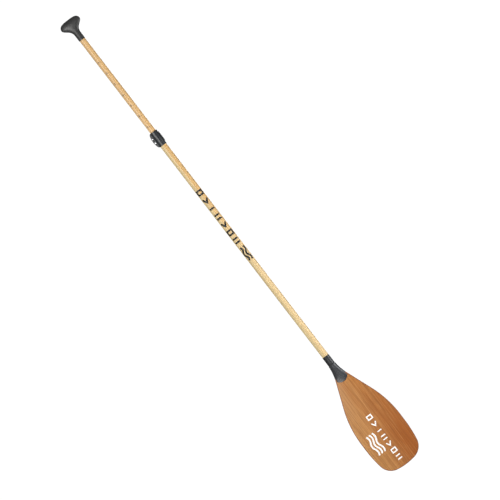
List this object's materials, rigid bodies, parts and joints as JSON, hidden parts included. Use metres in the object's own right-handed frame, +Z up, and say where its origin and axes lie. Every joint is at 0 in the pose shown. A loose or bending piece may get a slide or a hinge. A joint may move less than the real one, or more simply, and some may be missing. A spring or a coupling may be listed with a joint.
{
  "type": "adjustable stand-up paddle",
  "caption": "Adjustable stand-up paddle: raked wooden blade on a telescoping veneered shaft with a lever clamp and a T-shaped palm grip.",
  "frame": {"origin": "on the shaft's axis, at the middle of the stretch of lower shaft that a rack clip or a hand holds, 350 mm above the neck sleeve", "axes": "+Z up the shaft towards the palm grip, -Y out of the decorated face of the blade, towards which the blade rakes, +X to the right of that face"},
  "size_m": [0.1868, 0.0909, 2.097],
  "materials": {
    "grip": "matt charcoal moulded plastic",
    "black_plastic": "glossy black moulded plastic",
    "neck": "satin black moulded plastic",
    "bearing": "white nylon",
    "laminate": "fibre laminate",
    "shaft_wood": "pale bamboo veneer, satin varnish",
    "blade_wood": "reddish brown wood veneer, satin varnish",
    "blade_edge": "tinted resin edging",
    "blade_core": "light wood core",
    "foam": "closed-cell foam",
    "steel": "stainless steel",
    "screw_head": "bright plated steel"
  },
  "bodies": {
    "lower_half": {"lower_shaft_core": "laminate", "lower_shaft_veneer": "shaft_wood", "shaft_foam_plug": "foam", "neck_sleeve": "neck", "neck_spigot": "black_plastic", "blade_neck": "neck", "blade_core": "blade_core", "blade_front_veneer": "blade_wood", "blade_back_veneer": "blade_wood", "blade_edge_guard": "blade_edge", "clamp_body": "black_plastic", "clamp_liner": "black_plastic", "lever_axle": "steel", "clamp_screws": "screw_head", "screw_washers": "steel", "cam_plate": "steel"},
    "sliding_ring": {"glide_ring": "bearing"},
    "handle_half": {"grip_front_shell": "grip", "grip_back_shell": "grip", "grip_shell_screws": "steel", "grip_spigot": "black_plastic", "grip_screw": "steel", "upper_shaft_core": "laminate", "upper_shaft_veneer": "shaft_wood", "tail_plug": "black_plastic"},
    "lever": {"clamp_lever": "black_plastic"}
  },
  "joints": [
    {"name": "shaft_slide", "type": "slide", "parent": "lower_half", "child": "sliding_ring", "axis": [0, 0, 1], "range_m": [-0.42, 0.1]},
    {"name": "shaft_twist", "type": "hinge", "parent": "sliding_ring", "child": "handle_half", "pos_m": [0, 0, 0.6], "axis": [0, 0, 1], "continuous": true},
    {"name": "lever_swing", "type": "hinge", "parent": "lower_half", "child": "lever", "pos_m": [-0.0193, 0.0129, 0.6815], "axis": [0, 0, 1], "range_deg": [0, 120]}
  ]
}
